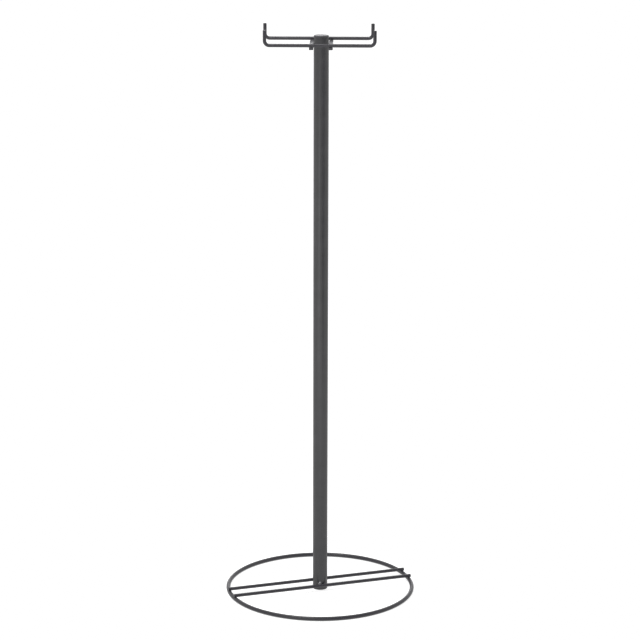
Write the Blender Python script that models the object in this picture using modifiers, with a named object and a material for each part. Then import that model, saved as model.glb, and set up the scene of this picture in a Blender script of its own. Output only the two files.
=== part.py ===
"""Standing coat rack: one round post on a wire ring foot, with four hooks at the top.

Origin: on the post axis at floor level. +X runs along the hook bars, -Y is the front, +Z is up.
Lengths are in metres.
"""
import math

import bmesh
import bpy
from mathutils import Matrix, Vector

# ---- overall -----------------------------------------------------------------
COLLECTION_NAME = "coat_rack"
CUTTER_COLLECTION_NAME = "cutters"
OVERALL_HEIGHT = 1.500
GAP = 0.0003  # clearance between pieces that touch or are welded
ROD_RADIUS = 0.004  # foot rods and hook bars
END_BEVEL = 0.0004  # broken edge at a cut wire end

# ---- post --------------------------------------------------------------------
POST_RADIUS = 0.019
POST_WALL = 0.0015
POST_BORE_RADIUS = POST_RADIUS - POST_WALL
POST_TOP = 1.4740
CAP_TOP = 1.4790
CAP_EDGE_RADIUS = 0.0014
CAP_RADIUS = 0.0188
CAP_SPIGOT_BOTTOM = 1.4600
CAP_SPIGOT_WALL = 0.0018
SPIGOT_RADIUS = POST_BORE_RADIUS - GAP

# ---- foot --------------------------------------------------------------------
RING_WIRE_RADIUS = 0.005
RING_RADIUS = 0.245  # centreline
FOOT_TURN = math.radians(19.5)  # turn of the foot rods from the hook bars
FOOT_ROD_OFFSET = 0.026  # centreline to post axis
FOOT_ROD_HALF_LENGTH = 0.2478
FOOT_ROD_Z = 2 * RING_WIRE_RADIUS + GAP + ROD_RADIUS
PLUG_SOLE = 0.0020
PLUG_TOP = 0.0320
PLUG_CHAMFER = 0.0008
THROUGH_BAR_RADIUS = 0.003
THROUGH_BAR_HALF_LENGTH = FOOT_ROD_OFFSET - ROD_RADIUS - GAP
THROUGH_HOLE_RADIUS = THROUGH_BAR_RADIUS + GAP

# ---- head --------------------------------------------------------------------
HOOK_BAR_Y = 0.0715  # centreline to post axis, front and back
HOOK_SHIFT_FRONT = -0.0028  # middle of the front bar to the post axis, left is negative
HOOK_SHIFT_BACK = -0.0072
HOOK_UPRIGHT_X = 0.138  # middle of the bar to the centreline of an upturned end
HOOK_RISE = 0.038  # from bar centreline to hook tip
HOOK_BEND_RADIUS = 0.012
HOOK_BAR_Z = OVERALL_HEIGHT - HOOK_RISE
CROSS_BAR_WIDTH = 0.010
CROSS_BAR_THICKNESS = 0.006
CROSS_BAR_EDGE = 0.0006
CROSS_BAR_HALF_LENGTH = 0.0765
CROSS_BAR_X = POST_RADIUS + GAP + CROSS_BAR_WIDTH / 2
CROSS_BAR_TOP = HOOK_BAR_Z - ROD_RADIUS - GAP
CROSS_BAR_Z = CROSS_BAR_TOP - CROSS_BAR_THICKNESS / 2

# ---- foot screw ----------------------------------------------------------------
SCREW_Z = 0.0185
SCREW_HEAD_RADIUS = 0.0040
SCREW_HEAD_HEIGHT = 0.0022
SCREW_SHANK_RADIUS = 0.0020
SCREW_TIP = 0.0148  # distance of the screw tip from the post axis
SCREW_HOLE_END = 0.0144
SCREW_HOLE_RADIUS = SCREW_SHANK_RADIUS + GAP
SOCKET_FLAT_RADIUS = 0.00125
SOCKET_DEPTH = 0.0012

# ---- weld beads ----------------------------------------------------------------
FOOT_BEAD = (0.0048, 0.0048, 0.0024)  # half sizes along x, y and z
HOOK_BEAD = (0.0040, 0.0026, 0.0022)
HOOK_BEAD_INSET = 0.0042  # from the bar centreline toward the post
HOOK_BEAD_LIFT = 0.0009  # above the top of the flat bar
POST_BEAD = (0.0022, 0.0030, 0.0028)
POST_BEAD_X = 0.0180
POST_BEAD_Y = 0.0072

# ---- facets --------------------------------------------------------------------
POST_STEPS = 64
ROD_SIDES = 20
RING_STEPS = 144
RING_SIDES = 16
BEND_STEPS = 8
WIRE_RESOLUTION = 6
SHARP_ANGLE = math.radians(40)

# ---- base colours ----------------------------------------------------------------
COATED_STEEL = (0.055, 0.057, 0.061, 1.0)
BLACK_PLASTIC = (0.080, 0.082, 0.086, 1.0)
ZINC_STEEL = (0.520, 0.525, 0.535, 1.0)


def clear_scene():
    for old in list(bpy.data.objects):
        bpy.data.objects.remove(old, do_unlink=True)


def new_collection(name):
    collection = bpy.data.collections.new(name)
    bpy.context.scene.collection.children.link(collection)
    return collection


def new_material(name, colour, roughness, metallic):
    material = bpy.data.materials.new(name)
    material.use_nodes = True
    shader = material.node_tree.nodes["Principled BSDF"]
    shader.inputs["Base Color"].default_value = colour
    shader.inputs["Roughness"].default_value = roughness
    shader.inputs["Metallic"].default_value = metallic
    material.diffuse_color = colour
    return material


def add_object(name, mesh, collection):
    created = bpy.data.objects.new(name, mesh)
    collection.objects.link(created)
    return created


def finish(part, look):
    """Give a part its own material and smooth shading with sharp rims."""
    colour, roughness, metallic = look
    part.data.materials.append(new_material(part.name, colour, roughness, metallic))
    part.data.shade_smooth()
    part.data.set_sharp_from_angle(angle=SHARP_ANGLE)
    return part


def cylinder_mesh(name, radius, length, sides):
    """Closed cylinder along Z, centred on the origin."""
    mesh = bpy.data.meshes.new(name)
    work = bmesh.new()
    bmesh.ops.create_cone(work, cap_ends=True, cap_tris=False, segments=sides,
                          radius1=radius, radius2=radius, depth=length)
    work.to_mesh(mesh)
    work.free()
    return mesh


def along(start, end):
    """World matrix that puts a Z-aligned, centred length between two points."""
    start = Vector(start)
    end = Vector(end)
    direction = (end - start).normalized()
    turn = direction.to_track_quat("Z", "Y").to_matrix().to_4x4()
    return Matrix.Translation((start + end) / 2) @ turn


def add_rod(name, start, end, radius, collection, sides=ROD_SIDES):
    """Straight round rod between two points."""
    length = (Vector(end) - Vector(start)).length
    rod = add_object(name, cylinder_mesh(name, radius, length, sides), collection)
    rod.matrix_world = along(start, end)
    return rod


def break_end_edges(part):
    """Small bevel round the rims of a cut wire."""
    bevel = part.modifiers.new("end_edges", "BEVEL")
    bevel.width = END_BEVEL
    bevel.segments = 1
    bevel.limit_method = "ANGLE"
    bevel.angle_limit = math.radians(50)


def add_turned(name, profile, collection, closed, steps=POST_STEPS):
    """Body of revolution about its own Z axis from (radius, height) points."""
    mesh = bpy.data.meshes.new(name)
    points = [(radius, 0.0, height) for radius, height in profile]
    edges = [(i, i + 1) for i in range(len(points) - 1)]
    if closed:
        edges.append((len(points) - 1, 0))
    mesh.from_pydata(points, edges, [])
    turned = add_object(name, mesh, collection)
    screw = turned.modifiers.new("turn", "SCREW")
    screw.axis = "Z"
    screw.angle = math.tau
    screw.steps = steps
    screw.render_steps = steps
    screw.use_merge_vertices = True
    screw.merge_threshold = 0.00001
    screw.use_smooth_shade = True
    return turned


def bake(part):
    """Replace a part's mesh by its evaluated mesh, with the modifiers used up."""
    graph = bpy.context.evaluated_depsgraph_get()
    mesh = bpy.data.meshes.new_from_object(part.evaluated_get(graph))
    part.modifiers.clear()
    part.data = mesh
    work = bmesh.new()
    work.from_mesh(mesh)
    bmesh.ops.remove_doubles(work, verts=work.verts, dist=0.000001)
    bmesh.ops.recalc_face_normals(work, faces=work.faces)
    work.to_mesh(mesh)
    work.free()


def join_flat_ends(part):
    """Turn the fans of triangles round the axis of a turned part into single flat faces."""
    bpy.context.view_layer.update()
    bake(part)
    work = bmesh.new()
    work.from_mesh(part.data)
    on_axis = [vert for vert in work.verts if math.hypot(vert.co.x, vert.co.y) < 0.000001]
    bmesh.ops.dissolve_verts(work, verts=on_axis)
    work.to_mesh(part.data)
    work.free()


def cut(part, cutters):
    for cutter in cutters:
        boolean = part.modifiers.new(cutter.name, "BOOLEAN")
        boolean.operation = "DIFFERENCE"
        boolean.solver = "EXACT"
        boolean.object = cutter


def foot_point(along_rod, across_rod, height):
    """Point of the turned foot: along the rods, across them (front negative), up."""
    turned = Matrix.Rotation(FOOT_TURN, 3, "Z") @ Vector((along_rod, across_rod, height))
    return turned


def build_post(parts, cutters, looks):
    tube = [(POST_RADIUS, POST_TOP - GAP), (POST_RADIUS, PLUG_SOLE + GAP),
            (POST_BORE_RADIUS, PLUG_SOLE + GAP), (POST_BORE_RADIUS, POST_TOP - GAP)]
    post = add_turned("post", tube, parts, closed=True)

    edge_centre = CAP_RADIUS - CAP_EDGE_RADIUS
    cap_profile = [(0.0, CAP_TOP)]
    for step in range(7):
        angle = math.radians(90 - 15 * step)
        cap_profile.append((edge_centre + CAP_EDGE_RADIUS * math.cos(angle),
                            CAP_TOP - CAP_EDGE_RADIUS * (1 - math.sin(angle))))
    cup_radius = SPIGOT_RADIUS - CAP_SPIGOT_WALL
    cap_profile += [(CAP_RADIUS, POST_TOP), (SPIGOT_RADIUS, POST_TOP),
                    (SPIGOT_RADIUS, CAP_SPIGOT_BOTTOM), (cup_radius, CAP_SPIGOT_BOTTOM),
                    (cup_radius, POST_TOP), (0.0, POST_TOP)]
    top_cap = add_turned("top_cap", cap_profile, parts, closed=False)
    join_flat_ends(top_cap)

    plug_profile = [(0.0, PLUG_TOP), (SPIGOT_RADIUS - PLUG_CHAMFER, PLUG_TOP),
                    (SPIGOT_RADIUS, PLUG_TOP - PLUG_CHAMFER), (SPIGOT_RADIUS, PLUG_SOLE),
                    (POST_RADIUS, PLUG_SOLE), (POST_RADIUS, 0.0004),
                    (POST_RADIUS - 0.0004, 0.0), (0.0, 0.0)]
    foot_plug = add_turned("foot_plug", plug_profile, parts, closed=False)
    join_flat_ends(foot_plug)

    reach = POST_RADIUS + 0.010
    foot_hole = add_rod("cut_foot_hole", foot_point(0, -reach, FOOT_ROD_Z),
                        foot_point(0, reach, FOOT_ROD_Z), THROUGH_HOLE_RADIUS, cutters)
    screw_hole = add_rod("cut_screw_hole", (0, -reach, SCREW_Z), (0, -SCREW_HOLE_END, SCREW_Z),
                         SCREW_HOLE_RADIUS, cutters)
    cut(post, [foot_hole, screw_hole])
    cut(foot_plug, [foot_hole, screw_hole])
    finish(post, looks["steel"])
    finish(top_cap, looks["plastic"])
    finish(foot_plug, looks["plastic"])


def build_foot(parts, cutters, looks):
    bpy.ops.mesh.primitive_torus_add(major_segments=RING_STEPS, minor_segments=RING_SIDES,
                                     major_radius=RING_RADIUS, minor_radius=RING_WIRE_RADIUS,
                                     location=(0, 0, RING_WIRE_RADIUS))
    ring = bpy.context.active_object
    ring.name = "foot_ring"
    ring.data.name = "foot_ring"
    for holder in list(ring.users_collection):
        holder.objects.unlink(ring)
    parts.objects.link(ring)
    finish(ring, looks["steel"])

    for name, side in (("foot_rod_front", -1), ("foot_rod_back", 1)):
        across = side * FOOT_ROD_OFFSET
        rod = add_rod(name, foot_point(-FOOT_ROD_HALF_LENGTH, across, FOOT_ROD_Z),
                      foot_point(FOOT_ROD_HALF_LENGTH, across, FOOT_ROD_Z), ROD_RADIUS, parts)
        break_end_edges(rod)
        finish(rod, looks["steel"])

    bar = add_rod("foot_through_bar", foot_point(0, -THROUGH_BAR_HALF_LENGTH, FOOT_ROD_Z),
                  foot_point(0, THROUGH_BAR_HALF_LENGTH, FOOT_ROD_Z), THROUGH_BAR_RADIUS, parts)
    break_end_edges(bar)
    finish(bar, looks["steel"])

    crossing = math.sqrt(RING_RADIUS ** 2 - FOOT_ROD_OFFSET ** 2)
    level = 2 * RING_WIRE_RADIUS + GAP / 2
    for front_back, across_side in (("front", -1), ("back", 1)):
        for left_right, along_side in (("left", -1), ("right", 1)):
            spot = foot_point(along_side * crossing, across_side * FOOT_ROD_OFFSET, level)
            name = f"weld_foot_{front_back}_{left_right}"
            along_ring = Vector((-spot.y, spot.x, 0)).normalized()
            blades = [rod_blade(name + "_rod", spot + Vector((0, 0, ROD_RADIUS + GAP / 2)),
                                foot_point(1, 0, 0), ROD_RADIUS, cutters),
                      rod_blade(name + "_ring", spot - Vector((0, 0, RING_WIRE_RADIUS + GAP / 2)),
                                along_ring, RING_WIRE_RADIUS, cutters)]
            add_bead(name, spot, FOOT_BEAD, blades, parts, looks)


def rod_blade(name, centre, direction, radius, cutters):
    """Cutter a gap wider than a rod, centred on one point of its axis."""
    half = direction * 0.020
    return add_rod("cut_" + name, centre - half, centre + half, radius + GAP, cutters, sides=28)


def box_mesh(name, size):
    """Closed box centred on the origin."""
    mesh = bpy.data.meshes.new(name)
    work = bmesh.new()
    bmesh.ops.create_cube(work, size=1.0)
    bmesh.ops.scale(work, vec=size, verts=work.verts)
    work.to_mesh(mesh)
    work.free()
    return mesh


def add_bead(name, spot, half_sizes, blades, parts, looks):
    """Weld bead: an ellipsoid with the pieces it joins, and a gap round them, cut away."""
    mesh = bpy.data.meshes.new(name)
    work = bmesh.new()
    bmesh.ops.create_uvsphere(work, u_segments=24, v_segments=12, radius=1.0)
    bmesh.ops.scale(work, vec=half_sizes, verts=work.verts)
    work.to_mesh(mesh)
    work.free()
    bead = add_object(name, mesh, parts)
    bead.location = spot
    cut(bead, blades)
    bpy.context.view_layer.update()
    bake(bead)
    finish(bead, looks["steel"])
    for blade in blades:
        bpy.data.objects.remove(blade, do_unlink=True)


def hook_path(side_y, shift):
    """Centreline of a hook bar from the left tip to the right tip."""
    half = [(HOOK_UPRIGHT_X, HOOK_BAR_Z + HOOK_RISE)]
    centre_x = HOOK_UPRIGHT_X - HOOK_BEND_RADIUS
    centre_z = HOOK_BAR_Z + HOOK_BEND_RADIUS
    for step in range(BEND_STEPS + 1):
        angle = -math.pi / 2 * step / BEND_STEPS
        half.append((centre_x + HOOK_BEND_RADIUS * math.cos(angle),
                     centre_z + HOOK_BEND_RADIUS * math.sin(angle)))
    right = [(shift + x, side_y, z) for x, z in half]
    left = [(shift - x, side_y, z) for x, z in half]
    return left + right[::-1]


def add_wire(name, points, radius, collection):
    """Round wire along a path, closed at both ends, as a mesh."""
    curve = bpy.data.curves.new(name + "_path", "CURVE")
    curve.dimensions = "3D"
    curve.bevel_depth = radius
    curve.bevel_resolution = WIRE_RESOLUTION
    curve.use_fill_caps = True
    spline = curve.splines.new("POLY")
    spline.points.add(len(points) - 1)
    for slot, point in zip(spline.points, points):
        slot.co = (*point, 1.0)
    carrier = bpy.data.objects.new(name + "_path", curve)
    collection.objects.link(carrier)
    bpy.context.view_layer.update()
    graph = bpy.context.evaluated_depsgraph_get()
    mesh = bpy.data.meshes.new_from_object(carrier.evaluated_get(graph))
    mesh.name = name
    work = bmesh.new()
    work.from_mesh(mesh)
    bmesh.ops.remove_doubles(work, verts=work.verts, dist=0.000001)
    bmesh.ops.recalc_face_normals(work, faces=work.faces)
    work.to_mesh(mesh)
    work.free()
    bpy.data.objects.remove(carrier, do_unlink=True)
    return add_object(name, mesh, collection)


def build_head(parts, cutters, looks):
    for name, side_y, shift in (("hook_bar_front", -HOOK_BAR_Y, HOOK_SHIFT_FRONT),
                                ("hook_bar_back", HOOK_BAR_Y, HOOK_SHIFT_BACK)):
        bar = add_wire(name, hook_path(side_y, shift), ROD_RADIUS, parts)
        break_end_edges(bar)
        finish(bar, looks["steel"])

    flat_size = Vector((CROSS_BAR_WIDTH, 2 * CROSS_BAR_HALF_LENGTH, CROSS_BAR_THICKNESS))
    for name, side in (("cross_bar_left", -1), ("cross_bar_right", 1)):
        flat = add_object(name, box_mesh(name, flat_size), parts)
        flat.location = (side * CROSS_BAR_X, 0, CROSS_BAR_Z)
        edges = flat.modifiers.new("edges", "BEVEL")
        edges.width = CROSS_BAR_EDGE
        edges.segments = 3
        finish(flat, looks["steel"])

    clear_size = flat_size + Vector((2 * GAP, 2 * GAP, 2 * GAP))
    for front_back, y_side in (("front", -1), ("back", 1)):
        for left_right, x_side in (("left", -1), ("right", 1)):
            label = f"{front_back}_{left_right}"
            flat_blade = add_object(f"cut_{label}_flat", box_mesh("blade", clear_size), cutters)
            flat_blade.location = (x_side * CROSS_BAR_X, 0, CROSS_BAR_Z)
            bar_centre = Vector((x_side * CROSS_BAR_X, y_side * HOOK_BAR_Y, HOOK_BAR_Z))
            bar_blade = rod_blade(label + "_bar", bar_centre, Vector((1, 0, 0)), ROD_RADIUS, cutters)
            spot = Vector((bar_centre.x, y_side * (HOOK_BAR_Y - HOOK_BEAD_INSET),
                           CROSS_BAR_TOP + HOOK_BEAD_LIFT))
            add_bead("weld_hook_" + label, spot, HOOK_BEAD, [flat_blade, bar_blade], parts, looks)

            flat_blade = add_object(f"cut_{label}_side", box_mesh("blade", clear_size), cutters)
            flat_blade.location = (x_side * CROSS_BAR_X, 0, CROSS_BAR_Z)
            post_blade = add_rod(f"cut_{label}_post", (0, 0, CROSS_BAR_Z - 0.010),
                                 (0, 0, CROSS_BAR_Z + 0.010), POST_RADIUS + GAP, cutters,
                                 sides=POST_STEPS)
            spot = Vector((x_side * POST_BEAD_X, y_side * POST_BEAD_Y, CROSS_BAR_Z))
            add_bead("weld_post_" + label, spot, POST_BEAD, [flat_blade, post_blade], parts, looks)


def build_foot_screw(parts, cutters, looks):
    """Button-head screw from the front through the post wall into the foot plug."""
    seat = POST_RADIUS + GAP
    profile = [(0.0, seat + SCREW_HEAD_HEIGHT)]
    for step in range(1, 6):
        angle = math.radians(18 * step)
        profile.append((SCREW_HEAD_RADIUS * math.sin(angle),
                        seat + 0.0004 + (SCREW_HEAD_HEIGHT - 0.0004) * math.cos(angle)))
    profile += [(SCREW_HEAD_RADIUS, seat), (SCREW_SHANK_RADIUS, seat),
                (SCREW_SHANK_RADIUS, SCREW_TIP + 0.0004), (SCREW_SHANK_RADIUS - 0.0004, SCREW_TIP),
                (0.0, SCREW_TIP)]
    screw = add_turned("foot_screw", profile, parts, closed=False, steps=32)
    to_front = Matrix.Translation((0, 0, SCREW_Z)) @ Matrix.Rotation(math.radians(90), 4, "X")
    screw.matrix_world = to_front
    top = seat + SCREW_HEAD_HEIGHT
    corner_radius = SOCKET_FLAT_RADIUS / math.cos(math.pi / 6)
    socket = add_rod("cut_socket", (0, -(top + 0.001), SCREW_Z), (0, -(top - SOCKET_DEPTH), SCREW_Z),
                     corner_radius, cutters, sides=6)
    cut(screw, [socket])
    finish(screw, looks["zinc"])


def main():
    clear_scene()
    parts = new_collection(COLLECTION_NAME)
    cutters = new_collection(CUTTER_COLLECTION_NAME)
    looks = {
        "steel": (COATED_STEEL, 0.48, 0.0),
        "plastic": (BLACK_PLASTIC, 0.55, 0.0),
        "zinc": (ZINC_STEEL, 0.50, 1.0),
    }
    build_post(parts, cutters, looks)
    build_foot(parts, cutters, looks)
    build_head(parts, cutters, looks)
    build_foot_screw(parts, cutters, looks)
    for cutter in cutters.objects:
        cutter.hide_render = True
        cutter.display_type = "WIRE"


main()
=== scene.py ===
"""Looks for the standing coat rack: finer pieces over the CAD frame, coatings, floor, light, camera.

Metres. +X runs along the hook bars, -Y is the front, +Z is up; the origin is on the post axis at the floor.
"""

import math

import bmesh
import bpy
from mathutils import Matrix, Vector


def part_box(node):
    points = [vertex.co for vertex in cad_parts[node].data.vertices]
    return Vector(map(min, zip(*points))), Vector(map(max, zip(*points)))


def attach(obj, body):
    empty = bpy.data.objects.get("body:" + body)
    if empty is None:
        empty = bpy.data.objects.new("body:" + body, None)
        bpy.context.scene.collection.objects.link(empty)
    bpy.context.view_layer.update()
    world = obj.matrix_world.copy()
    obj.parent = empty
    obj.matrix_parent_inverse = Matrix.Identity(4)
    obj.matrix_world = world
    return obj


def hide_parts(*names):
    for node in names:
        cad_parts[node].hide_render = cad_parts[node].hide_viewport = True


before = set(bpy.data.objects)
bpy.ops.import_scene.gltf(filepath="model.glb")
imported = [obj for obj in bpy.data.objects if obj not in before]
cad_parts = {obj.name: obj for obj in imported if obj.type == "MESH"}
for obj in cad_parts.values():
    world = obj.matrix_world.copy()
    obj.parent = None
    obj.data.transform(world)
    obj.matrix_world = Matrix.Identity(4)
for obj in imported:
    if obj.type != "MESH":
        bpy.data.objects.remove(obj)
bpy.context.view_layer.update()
BODY = "root"

# ---- sizes read from the frame -------------------------------------------------------
POST_LOW, POST_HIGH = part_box("post")
POST_RADIUS = (POST_HIGH.x - POST_LOW.x) / 2
CAP_LOW, CAP_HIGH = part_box("top_cap")
CAP_RADIUS = (CAP_HIGH.x - CAP_LOW.x) / 2
PLUG_LOW, PLUG_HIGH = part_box("foot_plug")
RING_LOW, RING_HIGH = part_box("foot_ring")
RING_WIRE = RING_HIGH.z - RING_LOW.z
RING_CENTRELINE = RING_HIGH.x - RING_WIRE / 2
BAR_LOW, BAR_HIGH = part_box("hook_bar_front")
ROD_RADIUS = (BAR_HIGH.y - BAR_LOW.y) / 2
HOOK_BAR_Z = BAR_LOW.z + ROD_RADIUS
HOOK_TIP_Z = BAR_HIGH.z
HOOK_UPRIGHT_X = (BAR_HIGH.x - BAR_LOW.x) / 2 - ROD_RADIUS
FOOT_LOW, FOOT_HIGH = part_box("foot_rod_front")
FOOT_ROD_Z = (FOOT_LOW.z + FOOT_HIGH.z) / 2
THROUGH_LOW, THROUGH_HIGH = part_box("foot_through_bar")
THROUGH_RADIUS = (THROUGH_HIGH.z - THROUGH_LOW.z) / 2
SCREW_LOW, SCREW_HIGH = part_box("foot_screw")
SCREW_Z = (SCREW_LOW.z + SCREW_HIGH.z) / 2
SCREW_HEAD_RADIUS = (SCREW_HIGH.x - SCREW_LOW.x) / 2

# ---- sizes the boxes don't give, as in the part's own source -------------------------
GAP = 0.0003  # clearance between pieces that touch
POST_WALL = 0.0015
CAP_SPIGOT_WALL = 0.0018
PLUG_SOLE = 0.0020
PLUG_CHAMFER = 0.0008
FOOT_TURN = math.radians(19.5)  # turn of the foot rods from the hook bars
FOOT_ROD_OFFSET = 0.026  # centreline to post axis
FOOT_ROD_HALF_LENGTH = 0.2478
HOOK_BEND_RADIUS = 0.012
SCREW_SHANK_RADIUS = 0.0020
SCREW_TIP_CHAMFER = 0.0004
SCREW_HOLE_SPARE = 0.0004  # depth past the screw's tip
THROUGH_HALF_LENGTH = FOOT_ROD_OFFSET - ROD_RADIUS - GAP
SPIGOT_RADIUS = POST_RADIUS - POST_WALL - GAP
DRILL_REACH = POST_RADIUS + 0.01  # clear of the post on both sides

# ---- finer edges of the visual pieces ------------------------------------------------
SHARP = math.radians(35)
END_ROUND = 0.0007  # rim of a cut wire
TUBE_RIM = 0.0004
CAP_EDGE = 0.0014
CAP_FLAT_SHARE = 0.6  # inner ring of faces on the cap's top, of its radius
CAP_LIP = 0.0003
SOLE_TOP_EDGE = 0.0003
SOLE_EDGE = 0.0004
FLAT_BAR_EDGE = 0.0007
SCREW_HEAD_RIM = 0.0004
SOCKET_RADIUS = 0.00144  # to the corners
SOCKET_DEPTH = 0.0012
FOOT_BEAD_SPREAD = 0.75  # of the CAD bead's half width
FOOT_BEAD_LIFT = 0.8  # of its half height
FOOT_RIPPLES = 18  # round the crossing
FOOT_RIPPLE_DEPTH = 0.05
HEAD_BEAD_SHARE = 0.92
HEAD_RIPPLES = 22  # radians of ripple over half a bead
HEAD_RIPPLE_DEPTH = 0.08
TURN_STEPS = 192
SCREW_STEPS = 64
RING_STEPS = 480
ROD_SIDES = 48
BEND_STEPS = 24
SCREW_HEAD_STEPS = 8
ON_AXIS = 1e-7
SAME_PLACE = 1e-9

# ---- coatings: dark and light tone, roughness ---------------------------------------
TUBE_COAT = ((0.050, 0.050, 0.053), (0.080, 0.080, 0.086), 0.27)
WIRE_COAT = ((0.032, 0.030, 0.039), (0.049, 0.046, 0.059), 0.28)
# weld coat darker than the wire coat: partly the weld's own tone, partly painted contact shade where the
# wires meet
WELD_COAT_WITH_PAINTED_SHADE = ((0.019, 0.018, 0.023), (0.031, 0.030, 0.037), 0.42)
# flat bar coat lighter than the wire coat: a painted sheen for the bright backdrop reflected on the flat
# bars' tops
FLAT_COAT_WITH_PAINTED_SHEEN = ((0.051, 0.050, 0.058), (0.077, 0.076, 0.087), 0.42)
PLASTIC_TONES = ((0.054, 0.053, 0.061), (0.082, 0.081, 0.092))
PLASTIC_ROUGHNESS = (0.37, 0.49)
ZINC_TONES = ((0.62, 0.625, 0.64), (0.78, 0.785, 0.80))
ZINC_ROUGHNESS = (0.62, 0.75)

# ---- studio --------------------------------------------------------------------------
ROOM_FRONT = 0.35  # surround behind the camera, as the stand sees it
ROOM_BACK = 1.35  # surround behind the stand
ROOM_TURN = (-0.6, 0.9)  # Y of the direction looked in, from dim to bright
FAR_WALL = 3.0  # further gain straight behind the stand
FAR_WALL_TURN = (0.95, 0.985)
FLOOR_LEVEL = -0.0002  # just under the sole, so that the two faces don't share a plane
FLOOR_GLOW = 0.81
FLOOR_TONE = 0.30
PRINT_CURVE = [(0.07, 0.060), (0.15, 0.100), (0.30, 0.190), (0.53, 0.370), (0.80, 0.680)]
CAMERA_DISTANCE = 6.050
CAMERA_HEIGHT = 2.2627
CAMERA_AZIMUTH = math.radians(0.94)
CAMERA_PITCH = math.radians(14.15)
CAMERA_ROLL = math.radians(0.13)
CAMERA_LENS = 134.95
CAMERA_SHIFT = -0.00103
WHITE = (1.0, 1.0, 1.0, 1.0)


# ---- shape tools ---------------------------------------------------------------------
def mesh_piece(name, mesh):
    """Put a mesh in the scene as an object."""
    piece = bpy.data.objects.new(name, mesh)
    bpy.context.scene.collection.objects.link(piece)
    return piece


def mesh_from(name, work):
    """Turn a working mesh into a plain one and free it."""
    mesh = bpy.data.meshes.new(name)
    work.to_mesh(mesh)
    work.free()
    return mesh


def smooth(piece):
    """Smooth shading with the true edges kept sharp."""
    piece.data.shade_smooth()
    piece.data.set_sharp_from_angle(angle=SHARP)


def settle(piece, node, material):
    """Shade a piece, give it its material and put it in the place of its CAD node."""
    smooth(piece)
    piece.data.materials.clear()
    piece.data.materials.append(material)
    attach(piece, BODY)
    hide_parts(node)
    return piece


def swept_mesh(name, stations, closed=False):
    """Tube mesh through (centre, side, up, radius) stations; open tubes get flat end faces."""
    work = bmesh.new()
    rings = []
    for centre, side, up, radius in stations:
        ring = []
        for k in range(ROD_SIDES):
            angle = math.tau * k / ROD_SIDES
            offset = side * (radius * math.cos(angle)) + up * (radius * math.sin(angle))
            ring.append(work.verts.new(centre + offset))
        rings.append(ring)
    pairs = list(zip(rings, rings[1:]))
    if closed:
        pairs.append((rings[-1], rings[0]))
    for low, high in pairs:
        for k in range(ROD_SIDES):
            j = (k + 1) % ROD_SIDES
            work.faces.new((low[k], low[j], high[j], high[k]))
    if not closed:
        work.faces.new(rings[0][::-1])
        work.faces.new(rings[-1])
    bmesh.ops.recalc_face_normals(work, faces=work.faces)
    return mesh_from(name, work)


def rounded_ends(length, radius, edge, steps=5):
    """(distance along, radius) pairs of a rod whose two end rims are rounded."""
    first = []
    for k in range(steps + 1):
        angle = math.pi / 2 * k / steps
        first.append((edge * (1 - math.sin(angle)), radius - edge * (1 - math.cos(angle))))
    first = first[::-1]
    return first + [(length - distance, ring_radius) for distance, ring_radius in first[::-1]]


def wire_piece(name, path, radius, edge=END_ROUND):
    """Round wire along a planar path, its cut ends lightly rounded."""
    points = [Vector(p) for p in path]
    spans = [(b - a).length for a, b in zip(points, points[1:])]
    total = sum(spans)
    normal = Vector((0, 0, 0))
    for a, b, c in zip(points, points[1:], points[2:]):
        normal += (b - a).cross(c - b)
    if normal.length < SAME_PLACE:
        normal = (points[-1] - points[0]).orthogonal()
    normal.normalize()
    travelled = [0.0]
    for span in spans:
        travelled.append(travelled[-1] + span)
    ends = rounded_ends(total, radius, edge)
    inner = [(d, radius) for d in travelled[1:-1] if edge * 1.5 < d < total - edge * 1.5]
    stations = []
    for distance, ring_radius in sorted(ends + inner):
        index = 0
        while index < len(spans) - 1 and distance > travelled[index + 1]:
            index += 1
        share = (distance - travelled[index]) / spans[index]
        centre = points[index].lerp(points[index + 1], share)
        here = (points[index + 1] - points[index]).normalized()
        at_corner = abs(distance - travelled[index + 1]) < SAME_PLACE and index + 2 < len(points)
        if at_corner:
            here = (here + (points[index + 2] - points[index + 1]).normalized()).normalized()
        stations.append((centre, normal, here.cross(normal).normalized(), ring_radius))
    return mesh_piece(name, swept_mesh(name, stations))


def turned_piece(name, profile, steps=TURN_STEPS):
    """Body of revolution about Z from (radius, height) points; the first and last may lie on the axis."""
    work = bmesh.new()
    columns = []
    for k in range(steps):
        angle = math.tau * k / steps
        column = []
        for radius, height in profile:
            if radius < ON_AXIS:
                column.append(None)
            else:
                place = (radius * math.cos(angle), radius * math.sin(angle), height)
                column.append(work.verts.new(place))
        columns.append(column)
    poles = {i: work.verts.new((0, 0, h)) for i, (r, h) in enumerate(profile) if r < ON_AXIS}
    for k in range(steps):
        near, far = columns[k], columns[(k + 1) % steps]
        for i in range(len(profile) - 1):
            corners = [near[i] or poles.get(i), far[i] or poles.get(i),
                       far[i + 1] or poles.get(i + 1), near[i + 1] or poles.get(i + 1)]
            unique = []
            for corner in corners:
                if corner not in unique:
                    unique.append(corner)
            if len(unique) > 2:
                work.faces.new(unique)
    bmesh.ops.recalc_face_normals(work, faces=work.faces)
    return mesh_piece(name, mesh_from(name, work))


def turned_ring(name, profile, steps=TURN_STEPS):
    """Body of revolution whose profile is a closed loop clear of the axis."""
    work = bmesh.new()
    columns = []
    for k in range(steps):
        angle = math.tau * k / steps
        places = [(radius * math.cos(angle), radius * math.sin(angle), height) for radius, height in profile]
        columns.append([work.verts.new(place) for place in places])
    for k in range(steps):
        near, far = columns[k], columns[(k + 1) % steps]
        for i in range(len(profile)):
            j = (i + 1) % len(profile)
            work.faces.new((near[i], far[i], far[j], near[j]))
    bmesh.ops.recalc_face_normals(work, faces=work.faces)
    return mesh_piece(name, mesh_from(name, work))


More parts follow.
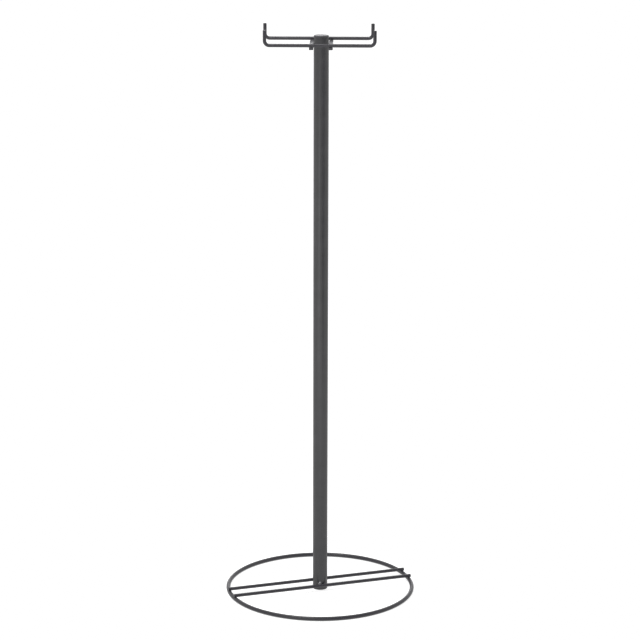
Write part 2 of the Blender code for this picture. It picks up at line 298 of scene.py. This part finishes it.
def arc(centre, radius, start, end, steps):
    """Profile points on an arc, angles in degrees."""
    points = []
    for k in range(steps + 1):
        angle = math.radians(start + (end - start) * k / steps)
        points.append((centre[0] + radius * math.cos(angle), centre[1] + radius * math.sin(angle)))
    return points


def bore(piece, cutters):
    """Cut round holes and leave plain mesh behind."""
    for cutter in cutters:
        cut = piece.modifiers.new("bore", "BOOLEAN")
        cut.operation = "DIFFERENCE"
        cut.solver = "EXACT"
        cut.object = cutter
    bpy.context.view_layer.update()
    graph = bpy.context.evaluated_depsgraph_get()
    mesh = bpy.data.meshes.new_from_object(piece.evaluated_get(graph))
    piece.modifiers.clear()
    piece.data = mesh
    for cutter in cutters:
        bpy.data.objects.remove(cutter, do_unlink=True)


def foot_point(along_rod, across_rod, height):
    """Point of the turned foot: along the rods, across them (front negative), up."""
    return Matrix.Rotation(FOOT_TURN, 3, "Z") @ Vector((along_rod, across_rod, height))


# ---- materials -----------------------------------------------------------------------
def shader_of(name):
    """New node material with its tree and Principled shader."""
    material = bpy.data.materials.new(name)
    material.use_nodes = True
    tree = material.node_tree
    return material, tree, tree.nodes["Principled BSDF"]


def noise(tree, scale, detail, roughness=0.5):
    """Noise in the object's own coordinates."""
    place = tree.nodes.new("ShaderNodeTexCoord")
    texture = tree.nodes.new("ShaderNodeTexNoise")
    texture.inputs["Scale"].default_value = scale
    texture.inputs["Detail"].default_value = detail
    texture.inputs["Roughness"].default_value = roughness
    tree.links.new(place.outputs["Object"], texture.inputs["Vector"])
    return texture.outputs["Fac"]


def spread(tree, factor, low, high, from_low=0.3, from_high=0.7):
    """Map a noise factor to a range."""
    node = tree.nodes.new("ShaderNodeMapRange")
    node.inputs["From Min"].default_value = from_low
    node.inputs["From Max"].default_value = from_high
    node.inputs["To Min"].default_value = low
    node.inputs["To Max"].default_value = high
    tree.links.new(factor, node.inputs["Value"])
    return node.outputs["Result"]


def between(tree, factor, dark, light):
    """Mix two colours by a factor."""
    node = tree.nodes.new("ShaderNodeMix")
    node.data_type = "RGBA"
    node.inputs["A"].default_value = (*dark, 1.0)
    node.inputs["B"].default_value = (*light, 1.0)
    tree.links.new(factor, node.inputs["Factor"])
    return node.outputs["Result"]


def bump(tree, height, distance, strength, below=None):
    """Surface relief from a height, on top of another relief if given."""
    node = tree.nodes.new("ShaderNodeBump")
    node.inputs["Distance"].default_value = distance
    node.inputs["Strength"].default_value = strength
    tree.links.new(height, node.inputs["Height"])
    if below is not None:
        tree.links.new(below, node.inputs["Normal"])
    return node.outputs["Normal"]


def powder_coat(name, dark, light, roughness):
    """Fine-textured dark powder coat: cloudy tone, sandy grain and soft orange peel."""
    material, tree, shader = shader_of(name)
    cloud = noise(tree, 38.0, 4.0)
    grain = noise(tree, 1900.0, 3.0, 0.6)
    peel = noise(tree, 520.0, 2.0)
    tone = tree.nodes.new("ShaderNodeMath")
    tone.operation = "MULTIPLY_ADD"
    tone.inputs[1].default_value = 0.45
    tree.links.new(grain, tone.inputs[0])
    tree.links.new(spread(tree, cloud, 0.0, 0.55), tone.inputs[2])
    tree.links.new(between(tree, tone.outputs[0], dark, light), shader.inputs["Base Color"])
    rough = spread(tree, grain, roughness - 0.05, roughness + 0.07)
    tree.links.new(rough, shader.inputs["Roughness"])
    soft = bump(tree, peel, 0.00006, 0.5)
    tree.links.new(bump(tree, grain, 0.00002, 0.6, soft), shader.inputs["Normal"])
    shader.inputs["IOR"].default_value = 1.5
    return material


def moulded_plastic(name):
    """Black moulded plastic with a fine eroded grain."""
    material, tree, shader = shader_of(name)
    grain = noise(tree, 2400.0, 4.0, 0.65)
    cloud = noise(tree, 60.0, 3.0)
    colour = between(tree, cloud, *PLASTIC_TONES)
    tree.links.new(colour, shader.inputs["Base Color"])
    tree.links.new(spread(tree, grain, *PLASTIC_ROUGHNESS), shader.inputs["Roughness"])
    tree.links.new(bump(tree, grain, 0.00003, 0.5), shader.inputs["Normal"])
    return material


def zinc_plate(name):
    """Dull zinc-plated steel with fine turning marks round the screw's own axis."""
    material, tree, shader = shader_of(name)
    shader.inputs["Metallic"].default_value = 1.0
    cloud = noise(tree, 900.0, 3.0)
    colour = between(tree, cloud, *ZINC_TONES)
    tree.links.new(colour, shader.inputs["Base Color"])
    tree.links.new(spread(tree, cloud, *ZINC_ROUGHNESS), shader.inputs["Roughness"])
    rings = tree.nodes.new("ShaderNodeTexWave")
    rings.wave_type = "RINGS"
    rings.rings_direction = "Z"
    rings.inputs["Scale"].default_value = 1500.0
    rings.inputs["Distortion"].default_value = 1.5
    place = tree.nodes.new("ShaderNodeTexCoord")
    tree.links.new(place.outputs["Object"], rings.inputs["Vector"])
    tree.links.new(bump(tree, rings.outputs["Fac"], 0.00001, 0.4), shader.inputs["Normal"])
    return material


# ---- pieces --------------------------------------------------------------------------
def foot_drill():
    """Cutter for the bar through the post's foot."""
    ends = [foot_point(0, -DRILL_REACH, FOOT_ROD_Z), foot_point(0, DRILL_REACH, FOOT_ROD_Z)]
    return wire_piece("drill", ends, THROUGH_RADIUS + GAP)


def screw_drill():
    """Cutter for the screw, a little deeper than its tip."""
    ends = [(0, -DRILL_REACH, SCREW_Z), (0, SCREW_HIGH.y + SCREW_HOLE_SPARE, SCREW_Z)]
    return wire_piece("drill", ends, SCREW_SHANK_RADIUS + GAP)


def make_post(coat):
    """Open round tube with the holes of the through bar and the screw."""
    inner = POST_RADIUS - POST_WALL
    rim = TUBE_RIM
    profile = [(inner, POST_HIGH.z - rim)]
    profile += arc((inner + rim, POST_HIGH.z - rim), rim, 180, 90, 4)[1:]
    profile += arc((POST_RADIUS - rim, POST_HIGH.z - rim), rim, 90, 0, 4)
    profile += arc((POST_RADIUS - rim, POST_LOW.z + rim), rim, 0, -90, 4)
    profile += arc((inner + rim, POST_LOW.z + rim), rim, -90, -180, 4)
    post = turned_ring("coated_post", profile)
    bore(post, [foot_drill(), screw_drill()])
    settle(post, "post", coat)


def make_cap(plastic):
    """Flat-topped cap with a hollow spigot."""
    lip = POST_HIGH.z + GAP
    cup = SPIGOT_RADIUS - CAP_SPIGOT_WALL
    profile = [(0.0, CAP_HIGH.z), (CAP_RADIUS * CAP_FLAT_SHARE, CAP_HIGH.z)]
    profile += arc((CAP_RADIUS - CAP_EDGE, CAP_HIGH.z - CAP_EDGE), CAP_EDGE, 90, 0, 10)
    profile += [(CAP_RADIUS, lip + CAP_LIP), (CAP_RADIUS - CAP_LIP, lip), (SPIGOT_RADIUS, lip),
                (SPIGOT_RADIUS, CAP_LOW.z), (cup, CAP_LOW.z), (cup, lip), (0.0, lip)]
    settle(turned_piece("moulded_cap", profile), "top_cap", plastic)


def make_plug(plastic):
    """Plug in the foot of the post with its round sole on the floor."""
    sole_top = PLUG_LOW.z + PLUG_SOLE
    profile = [(0.0, PLUG_HIGH.z), (SPIGOT_RADIUS - PLUG_CHAMFER, PLUG_HIGH.z),
               (SPIGOT_RADIUS, PLUG_HIGH.z - PLUG_CHAMFER), (SPIGOT_RADIUS, sole_top)]
    profile += arc((POST_RADIUS - SOLE_TOP_EDGE, sole_top - SOLE_TOP_EDGE), SOLE_TOP_EDGE, 90, 0, 4)
    profile += arc((POST_RADIUS - SOLE_EDGE, PLUG_LOW.z + SOLE_EDGE), SOLE_EDGE, 0, -90, 4)
    profile.append((0.0, PLUG_LOW.z))
    piece = turned_piece("moulded_plug", profile)
    bore(piece, [foot_drill(), screw_drill()])
    settle(piece, "foot_plug", plastic)


def make_foot(coat):
    """Wire ring, the two rods across it and the bar that joins them through the post."""
    stations = []
    for k in range(RING_STEPS):
        angle = math.tau * k / RING_STEPS
        out = Vector((math.cos(angle), math.sin(angle), 0))
        centre = out * RING_CENTRELINE + Vector((0, 0, RING_WIRE / 2))
        stations.append((centre, out, Vector((0, 0, 1)), RING_WIRE / 2))
    ring = mesh_piece("coated_ring", swept_mesh("coated_ring", stations, closed=True))
    settle(ring, "foot_ring", coat)
    for node, side in (("foot_rod_front", -1), ("foot_rod_back", 1)):
        across = side * FOOT_ROD_OFFSET
        ends = [foot_point(-FOOT_ROD_HALF_LENGTH, across, FOOT_ROD_Z),
                foot_point(FOOT_ROD_HALF_LENGTH, across, FOOT_ROD_Z)]
        settle(wire_piece("coated_" + node, ends, ROD_RADIUS), node, coat)
    ends = [foot_point(0, -THROUGH_HALF_LENGTH, FOOT_ROD_Z), foot_point(0, THROUGH_HALF_LENGTH, FOOT_ROD_Z)]
    bar = wire_piece("coated_foot_through_bar", ends, THROUGH_RADIUS)
    settle(bar, "foot_through_bar", coat)


def hook_path(node):
    """Centreline of a hook bar from the left tip to the right tip."""
    low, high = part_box(node)
    middle = (low + high) / 2
    bend_centre = (HOOK_UPRIGHT_X - HOOK_BEND_RADIUS, HOOK_BAR_Z + HOOK_BEND_RADIUS)
    half = [(HOOK_UPRIGHT_X, HOOK_TIP_Z)]
    half += arc(bend_centre, HOOK_BEND_RADIUS, 0, -90, BEND_STEPS)
    right = [(middle.x + x, middle.y, z) for x, z in half]
    left = [(middle.x - x, middle.y, z) for x, z in half]
    return left + right[::-1]


def make_head(coat, flat_coat_with_painted_sheen):
    """Two hook bars on two flat bars."""
    for node in ("hook_bar_front", "hook_bar_back"):
        bar = wire_piece("coated_" + node, hook_path(node), ROD_RADIUS)
        settle(bar, node, coat)
    for node in ("cross_bar_left", "cross_bar_right"):
        low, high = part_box(node)
        work = bmesh.new()
        bmesh.ops.create_cube(work, size=1.0)
        bmesh.ops.scale(work, vec=high - low, verts=work.verts)
        bmesh.ops.bevel(work, geom=work.edges[:], offset=FLAT_BAR_EDGE, segments=6, profile=0.5,
                        affect="EDGES")
        bmesh.ops.translate(work, vec=(low + high) / 2, verts=work.verts)
        bar = mesh_piece("coated_" + node, mesh_from(node, work))
        settle(bar, node, flat_coat_with_painted_sheen)


def make_bead(node, coat):
    """Weld bead with the ripples of its run: round the crossing at the foot, in a line at the head."""
    low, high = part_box(node)
    centre = (low + high) / 2
    half = (high - low) / 2
    run = 0 if node.startswith("weld_hook") else 2
    work = bmesh.new()
    bmesh.ops.create_uvsphere(work, u_segments=64, v_segments=48, radius=1.0)
    for vert in work.verts:
        if node.startswith("weld_foot"):
            angle = math.atan2(vert.co.y, vert.co.x)
            ripple = 1 - FOOT_RIPPLE_DEPTH * (0.5 + 0.5 * math.cos(FOOT_RIPPLES * angle))
            wide = FOOT_BEAD_SPREAD * ripple
            size = Vector((half.x * wide, half.y * wide, half.z * FOOT_BEAD_LIFT))
        else:
            ripple = 1 - HEAD_RIPPLE_DEPTH * (0.5 + 0.5 * math.cos(HEAD_RIPPLES * vert.co[run]))
            size = half * HEAD_BEAD_SHARE
            for axis in {0, 1, 2} - {run}:
                size[axis] *= ripple
        vert.co = centre + Vector((vert.co.x * size.x, vert.co.y * size.y, vert.co.z * size.z))
    settle(mesh_piece("coated_" + node, mesh_from(node, work)), node, coat)


def make_screw(zinc):
    """Button-head screw with a hexagon socket, turned upright and then laid toward the front."""
    head = -SCREW_LOW.y
    tip = -SCREW_HIGH.y
    seat = POST_RADIUS + GAP
    tall = head - seat
    profile = []
    for k in range(SCREW_HEAD_STEPS + 1):
        angle = math.radians(90 * k / SCREW_HEAD_STEPS)
        height = seat + SCREW_HEAD_RIM + (tall - SCREW_HEAD_RIM) * math.cos(angle)
        profile.append((SCREW_HEAD_RADIUS * math.sin(angle), height))
    profile += [(SCREW_HEAD_RADIUS, seat), (SCREW_SHANK_RADIUS, seat),
                (SCREW_SHANK_RADIUS, tip + SCREW_TIP_CHAMFER),
                (SCREW_SHANK_RADIUS - SCREW_TIP_CHAMFER, tip), (0.0, tip)]
    screw = turned_piece("plated_screw", profile, steps=SCREW_STEPS)
    work = bmesh.new()
    bmesh.ops.create_cone(work, cap_ends=True, segments=6, radius1=SOCKET_RADIUS, radius2=SOCKET_RADIUS,
                          depth=2 * SOCKET_DEPTH)
    socket = mesh_piece("socket", mesh_from("socket", work))
    socket.location = (0, 0, head)
    bore(screw, [socket])
    screw.matrix_world = Matrix.Translation((0, 0, SCREW_Z)) @ Matrix.Rotation(math.radians(90), 4, "X")
    settle(screw, "foot_screw", zinc)


# ---- floor, light and camera ---------------------------------------------------------
def glowing_floor(name, glow, far_glow, tone, change_from, change_to):
    """Pale matt sheet whose glow changes from far_glow to glow between two places along its own Y."""
    material, tree, shader = shader_of(name)
    shader.inputs["Roughness"].default_value = 0.8
    colour = between(tree, noise(tree, 3.0, 3.0), (tone - 0.01,) * 3, (tone + 0.01,) * 3)
    tree.links.new(colour, shader.inputs["Base Color"])
    shader.inputs["Emission Color"].default_value = WHITE
    place = tree.nodes.new("ShaderNodeTexCoord")
    parts = tree.nodes.new("ShaderNodeSeparateXYZ")
    tree.links.new(place.outputs["Object"], parts.inputs["Vector"])
    strength = spread(tree, parts.outputs["Y"], far_glow, glow, change_from, change_to)
    tree.links.new(strength, shader.inputs["Emission Strength"])
    shader.inputs["Specular IOR Level"].default_value = 0.0
    return material


def flat_stage(name, width, height, place, material, tilt=0.0, turn=0.0):
    """Flat sheet of the stage, level unless tilted about X and then turned about Z."""
    work = bmesh.new()
    bmesh.ops.create_grid(work, x_segments=1, y_segments=1, size=0.5)
    bmesh.ops.scale(work, vec=(width, height, 1.0), verts=work.verts)
    sheet = mesh_piece(name, mesh_from(name, work))
    sheet.location = place
    sheet.rotation_euler = (tilt, 0, turn)
    sheet.data.materials.append(material)
    return sheet


def card(name, width, height, place, glow, tone, tilt=0.0, turn=0.0):
    """Studio card, bright or dark, that only lights the stand and is not seen itself."""
    material, tree, shader = shader_of(name)
    colour = between(tree, noise(tree, 2.0, 2.0), (tone,) * 3, (tone * 1.1,) * 3)
    tree.links.new(colour, shader.inputs["Base Color"])
    shader.inputs["Emission Color"].default_value = WHITE
    shader.inputs["Emission Strength"].default_value = glow
    shader.inputs["Specular IOR Level"].default_value = 0.0
    sheet = flat_stage(name, width, height, place, material, tilt, turn)
    sheet.visible_camera = False


def make_floor():
    """Pale floor, and the sheets over it and beside it that only the stand sees."""
    pale = glowing_floor("pale_floor", FLOOR_GLOW, 1.0, FLOOR_TONE, -1.3, -0.9)
    flat_stage("floor", 60, 60, (0, 0, FLOOR_LEVEL), pale)
    dimmed = glowing_floor("dimmed_floor", FLOOR_GLOW, 0.30, FLOOR_TONE, 8.0, 13.0)
    front = flat_stage("floor_dimmer", 60, 26, (0, -17, 0.0005), dimmed)
    front.visible_camera = False
    upright = math.radians(90)
    card("floor_glow", 5.0, 6.0, (-0.4, -4.3, 0.001), glow=1.9, tone=0.3)
    card("bright_card", 1.2, 1.3, (-1.27, -2.72, 0.70), glow=2.3, tone=0.3,
         tilt=upright, turn=math.radians(-25))
    card("dark_flag", 2.4, 2.2, (1.56, -2.08, 1.15), glow=0.0, tone=0.02,
         tilt=upright, turn=math.radians(37))


def area_light(name, place, target, width, height, power):
    """Rectangular lamp aimed at a point."""
    data = bpy.data.lights.new(name, "AREA")
    data.shape = "RECTANGLE"
    data.size = width
    data.size_y = height
    data.energy = power
    light = bpy.data.objects.new(name, data)
    bpy.context.scene.collection.objects.link(light)
    light.location = place
    light.rotation_euler = (Vector(target) - Vector(place)).to_track_quat("-Z", "Y").to_euler()


def make_light():
    """Surround that is white to the camera; the stand sees it bright behind and dim in front."""
    world = bpy.data.worlds.new("studio")
    world.use_nodes = True
    tree = world.node_tree
    backdrop = tree.nodes["Background"]
    place = tree.nodes.new("ShaderNodeTexCoord")
    parts = tree.nodes.new("ShaderNodeSeparateXYZ")
    tree.links.new(place.outputs["Generated"], parts.inputs["Vector"])
    room = spread(tree, parts.outputs["Y"], ROOM_FRONT, ROOM_BACK, *ROOM_TURN)
    behind = spread(tree, parts.outputs["Y"], 1.0, FAR_WALL, *FAR_WALL_TURN)
    lift = tree.nodes.new("ShaderNodeMath")
    lift.operation = "MULTIPLY"
    tree.links.new(room, lift.inputs[0])
    tree.links.new(behind, lift.inputs[1])
    rays = tree.nodes.new("ShaderNodeLightPath")
    level = tree.nodes.new("ShaderNodeMapRange")
    tree.links.new(lift.outputs[0], level.inputs["To Min"])
    level.inputs["To Max"].default_value = 1.0
    tree.links.new(rays.outputs["Is Camera Ray"], level.inputs["Value"])
    tree.links.new(level.outputs["Result"], backdrop.inputs["Strength"])
    backdrop.inputs["Color"].default_value = WHITE
    bpy.context.scene.world = world
    area_light("overhead_box", (-0.6, -0.4, 3.6), (0, 0, 1.4), 1.8, 1.2, 60)


def set_tones():
    """Plain display with a gentle print curve that holds white and deepens the middle tones."""
    view = bpy.context.scene.view_settings
    view.view_transform = "Standard"
    view.use_curve_mapping = True
    curve = view.curve_mapping.curves[3]
    for low, high in PRINT_CURVE:
        curve.points.new(low, high)
    view.curve_mapping.extend = "HORIZONTAL"
    view.curve_mapping.update()


def make_camera():
    """Long lens from above the stand's top, slightly to the right of straight in front."""
    data = bpy.data.cameras.new("camera")
    data.sensor_width = 36.0
    data.lens = CAMERA_LENS
    data.shift_x = CAMERA_SHIFT
    camera = bpy.data.objects.new("camera", data)
    bpy.context.scene.collection.objects.link(camera)
    camera.location = (CAMERA_DISTANCE * math.sin(CAMERA_AZIMUTH),
                       -CAMERA_DISTANCE * math.cos(CAMERA_AZIMUTH), CAMERA_HEIGHT)
    turn = Matrix.Rotation(CAMERA_AZIMUTH, 4, "Z")
    turn = turn @ Matrix.Rotation(math.radians(90) - CAMERA_PITCH, 4, "X")
    turn = turn @ Matrix.Rotation(CAMERA_ROLL, 4, "Z")
    camera.rotation_euler = turn.to_euler()
    bpy.context.scene.camera = camera


make_camera()
tube_coat = powder_coat("powder_coat_on_tube", *TUBE_COAT)
wire_coat = powder_coat("powder_coat_on_wire", *WIRE_COAT)
# darker weld coat: the weld's own tone plus painted contact shade at the joints
weld_coat_with_painted_shade = powder_coat("powder_coat_over_weld", *WELD_COAT_WITH_PAINTED_SHADE)
# lighter flat bar coat: painted sheen of the backdrop on the flat tops
flat_coat_with_painted_sheen = powder_coat("powder_coat_on_flat_bar_with_painted_sheen", *FLAT_COAT_WITH_PAINTED_SHEEN)
plastic = moulded_plastic("black_moulded_plastic")
zinc = zinc_plate("dull_zinc_plate")
make_post(tube_coat)
make_cap(plastic)
make_plug(plastic)
make_foot(wire_coat)
make_head(wire_coat, flat_coat_with_painted_sheen)
for node in sorted(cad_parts):
    if node.startswith("weld_"):
        make_bead(node, weld_coat_with_painted_shade)
make_screw(zinc)
make_floor()
make_light()
set_tones()
